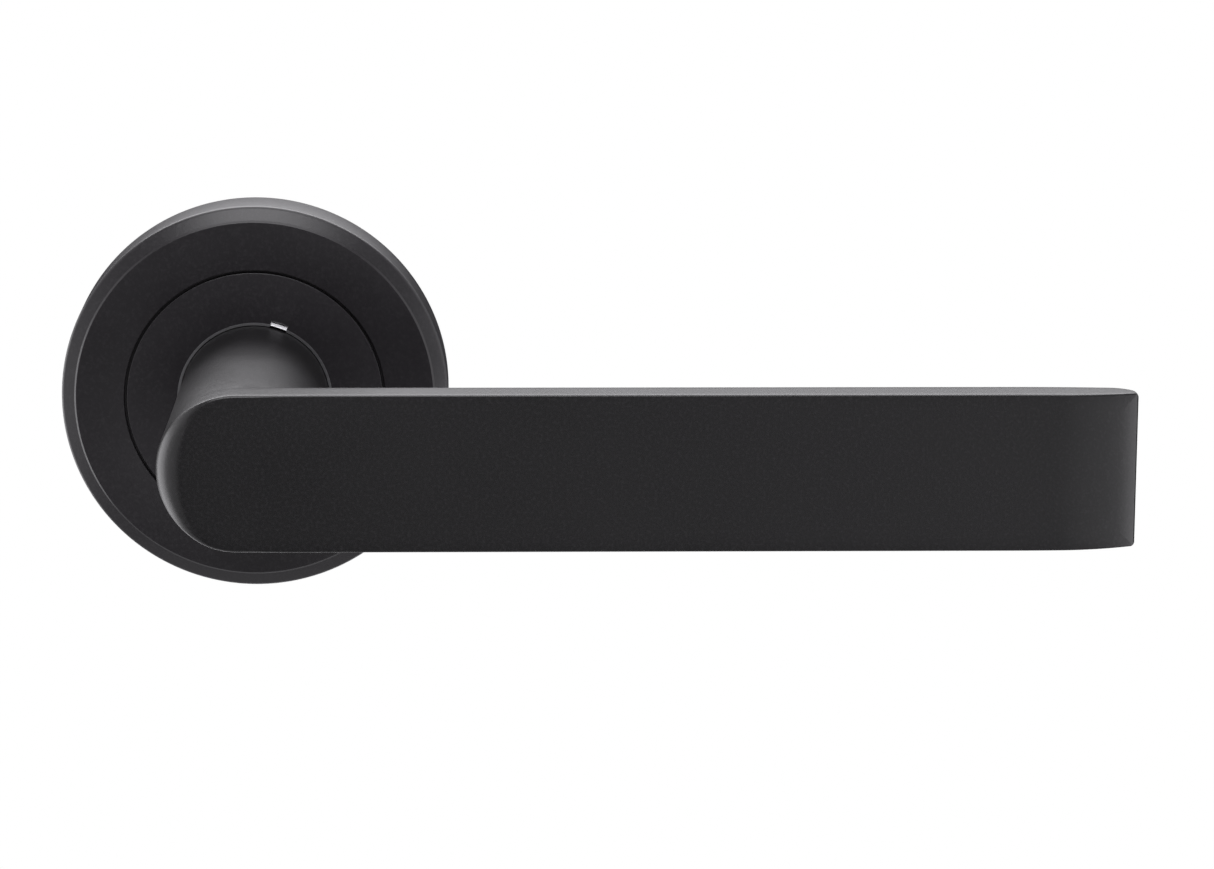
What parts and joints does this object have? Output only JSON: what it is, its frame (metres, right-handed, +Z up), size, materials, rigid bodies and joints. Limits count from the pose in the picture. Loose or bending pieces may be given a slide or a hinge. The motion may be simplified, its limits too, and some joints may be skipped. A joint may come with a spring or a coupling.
{
  "type": "lever handle lockset",
  "caption": "Flat-bar door lever on a round sprung rose, with drive hub, torsion return spring, square spindle, fixing bolts and release catch.",
  "frame": {"origin": "spindle axis in the plane of the door's face, at the middle of the two fixing bolts", "axes": "+Y into the door along the spindle, +X along the lever towards its tip, +Z up"},
  "size_m": [0.1729, 0.132, 0.065],
  "materials": {
    "satin_black_lever": "satin matt black powder coat",
    "satin_black_rose": "satin matt black powder coat",
    "satin_black_disc": "satin matt black powder coat",
    "cast_zinc": "as-cast zinc alloy",
    "spring_steel": "blued spring steel",
    "plated_steel": "bright zinc plate",
    "bearing_nylon": "natural acetal",
    "pressed_steel": "zinc-plated pressed sheet",
    "drawn_steel": "cold-drawn bar, lightly oiled",
    "bright_steel": "bare polished steel"
  },
  "bodies": {
    "rose": {"rose_cover": "satin_black_rose", "rose_inner_disc": "satin_black_disc", "rose_base": "cast_zinc", "cover_clips": "spring_steel", "clip_rivets": "plated_steel", "hub_bush": "bearing_nylon", "thrust_washer": "plated_steel", "wave_washer": "spring_steel", "return_spring": "spring_steel", "spring_anchor_pin": "plated_steel", "stop_posts": "plated_steel", "cassette_plate": "pressed_steel", "cassette_screws": "plated_steel", "fixing_bolts": "plated_steel", "bolt_washers": "spring_steel"},
    "lever": {"lever_handle": "satin_black_lever", "drive_hub": "cast_zinc", "circlip": "spring_steel", "square_spindle": "drawn_steel", "spindle_pin": "plated_steel", "catch_spring": "spring_steel"},
    "catch": {"lever_catch": "bright_steel"}
  },
  "joints": [
    {"name": "lever_turn", "type": "hinge", "parent": "rose", "child": "lever", "pos_m": [0, 0, 0], "axis": [0, 1, 0], "range_deg": [-45, 45], "stiffness_Nm_per_rad": 2, "springref_deg": -5.73, "deforming": ["return_spring"]},
    {"name": "catch_press", "type": "slide", "parent": "lever", "child": "catch", "axis": [-0.3173, 0, -0.9483], "range_m": [0, 0.0027], "stiffness_N_per_m": 300, "springref_m": -0.002, "deforming": ["catch_spring"]}
  ]
}
